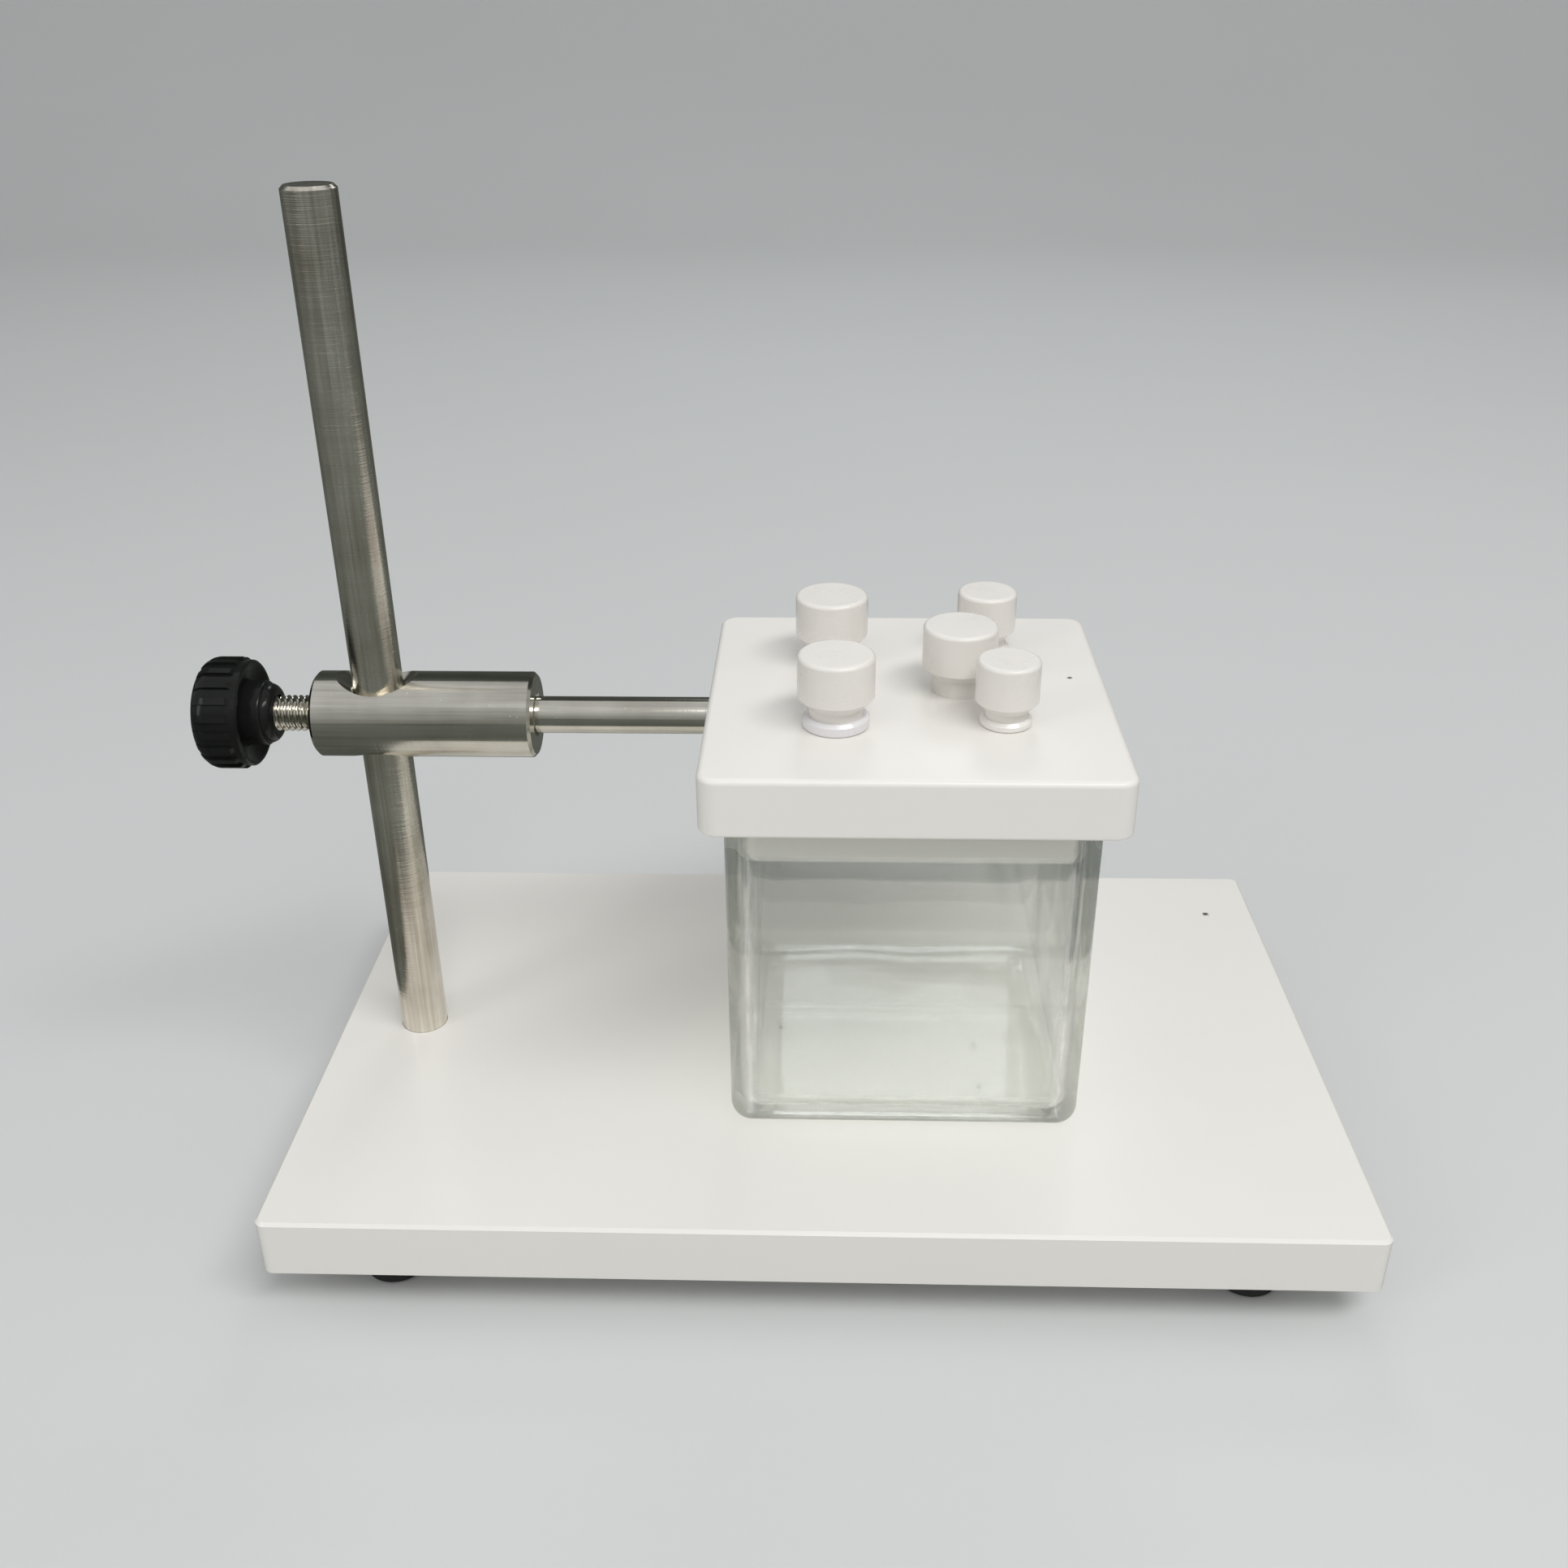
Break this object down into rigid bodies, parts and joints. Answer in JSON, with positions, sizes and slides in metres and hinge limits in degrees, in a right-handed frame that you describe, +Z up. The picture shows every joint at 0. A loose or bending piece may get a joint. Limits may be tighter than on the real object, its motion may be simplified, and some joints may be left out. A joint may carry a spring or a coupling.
{
  "type": "electrochemical cell",
  "caption": "Square glass cell under a thick lid with screw-in stoppers, held by a clamp arm on an upright rod that stands on a white base plate.",
  "frame": {"origin": "centre of the object's footprint, at the bottom of the feet", "axes": "+Z up, +X from the rod towards the cell, along the base plate, +Y from the front to the back"},
  "size_m": [0.1876, 0.105, 0.1605],
  "materials": {
    "white_polymer": "satin",
    "stopper_polymer": "satin",
    "stainless": "turned",
    "clear_glass": "polished",
    "black_plastic": "gloss",
    "rubber": "matt",
    "silicone": "gloss"
  },
  "bodies": {
    "base": {"base_plate": "white_polymer", "foot_screws": "stainless", "foot_front_left": "rubber", "foot_front_right": "rubber", "foot_back_left": "rubber", "foot_back_right": "rubber"},
    "post": {"upright_rod": "stainless", "rod_screw": "stainless", "glass_cell": "clear_glass"},
    "arm": {"clamp_block": "stainless", "arm_rod": "stainless", "lid": "white_polymer"},
    "stud": {"thumb_screw_stud": "stainless"},
    "knob": {"thumb_knob": "black_plastic"},
    "seal_front_left": {"seal_front_left": "silicone"},
    "stopper_front_left": {"stopper_front_left": "stopper_polymer"},
    "seal_back_left": {"seal_back_left": "silicone"},
    "stopper_back_left": {"stopper_back_left": "stopper_polymer"},
    "seal_middle": {"seal_middle": "silicone"},
    "stopper_middle": {"stopper_middle": "stopper_polymer"},
    "seal_front_right": {"seal_front_right": "silicone"},
    "stopper_front_right": {"stopper_front_right": "stopper_polymer"},
    "seal_back_right": {"seal_back_right": "silicone"},
    "stopper_back_right": {"stopper_back_right": "stopper_polymer"}
  },
  "joints": [
    {"name": "arm_swivel", "type": "hinge", "parent": "base", "child": "post", "pos_m": [-0.06477, 0, 0.0175], "axis": [0, 0, 1], "range_deg": [-12, 12]},
    {"name": "arm_height", "type": "slide", "parent": "post", "child": "arm", "axis": [0, 0, 1], "range_m": [0, 0.07]},
    {"name": "thumb_screw_advance", "type": "slide", "parent": "arm", "child": "stud", "axis": [-1, 0, 0], "range_m": [0, 0.005]},
    {"name": "thumb_screw_turn", "type": "hinge", "parent": "stud", "child": "knob", "pos_m": [-0.08173, 0, 0.07905], "axis": [-1, 0, 0], "range_deg": [0, 1800]},
    {"name": "rise_front_left", "type": "slide", "parent": "arm", "child": "seal_front_left", "axis": [0, 0, 1], "range_m": [0, 0.00875]},
    {"name": "turn_front_left", "type": "hinge", "parent": "seal_front_left", "child": "stopper_front_left", "pos_m": [0.00942, -0.0129, 0.0838], "axis": [0, 0, 1], "range_deg": [0, 2520]},
    {"name": "rise_back_left", "type": "slide", "parent": "arm", "child": "seal_back_left", "axis": [0, 0, 1], "range_m": [0, 0.00875]},
    {"name": "turn_back_left", "type": "hinge", "parent": "seal_back_left", "child": "stopper_back_left", "pos_m": [0.00873, 0.012, 0.0838], "axis": [0, 0, 1], "range_deg": [0, 2520]},
    {"name": "rise_middle", "type": "slide", "parent": "arm", "child": "seal_middle", "axis": [0, 0, 1], "range_m": [0, 0.00875]},
    {"name": "turn_middle", "type": "hinge", "parent": "seal_middle", "child": "stopper_middle", "pos_m": [0.02913, 0.0004, 0.0838], "axis": [0, 0, 1], "range_deg": [0, 2520]},
    {"name": "rise_front_right", "type": "slide", "parent": "arm", "child": "seal_front_right", "axis": [0, 0, 1], "range_m": [0, 0.006]},
    {"name": "turn_front_right", "type": "hinge", "parent": "seal_front_right", "child": "stopper_front_right", "pos_m": [0.03553, -0.012, 0.0838], "axis": [0, 0, 1], "range_deg": [0, 2160]},
    {"name": "rise_back_right", "type": "slide", "parent": "arm", "child": "seal_back_right", "axis": [0, 0, 1], "range_m": [0, 0.006]},
    {"name": "turn_back_right", "type": "hinge", "parent": "seal_back_right", "child": "stopper_back_right", "pos_m": [0.03472, 0.017, 0.0838], "axis": [0, 0, 1], "range_deg": [0, 2160]}
  ],
  "couplings": [
    {"joint": "thumb_screw_turn", "follows": "thumb_screw_advance", "rad_per_m": 6283.2},
    {"joint": "turn_front_left", "follows": "rise_front_left", "rad_per_m": 5026.5},
    {"joint": "turn_back_left", "follows": "rise_back_left", "rad_per_m": 5026.5},
    {"joint": "turn_middle", "follows": "rise_middle", "rad_per_m": 5026.5},
    {"joint": "turn_front_right", "follows": "rise_front_right", "rad_per_m": 6283.2},
    {"joint": "turn_back_right", "follows": "rise_back_right", "rad_per_m": 6283.2}
  ]
}
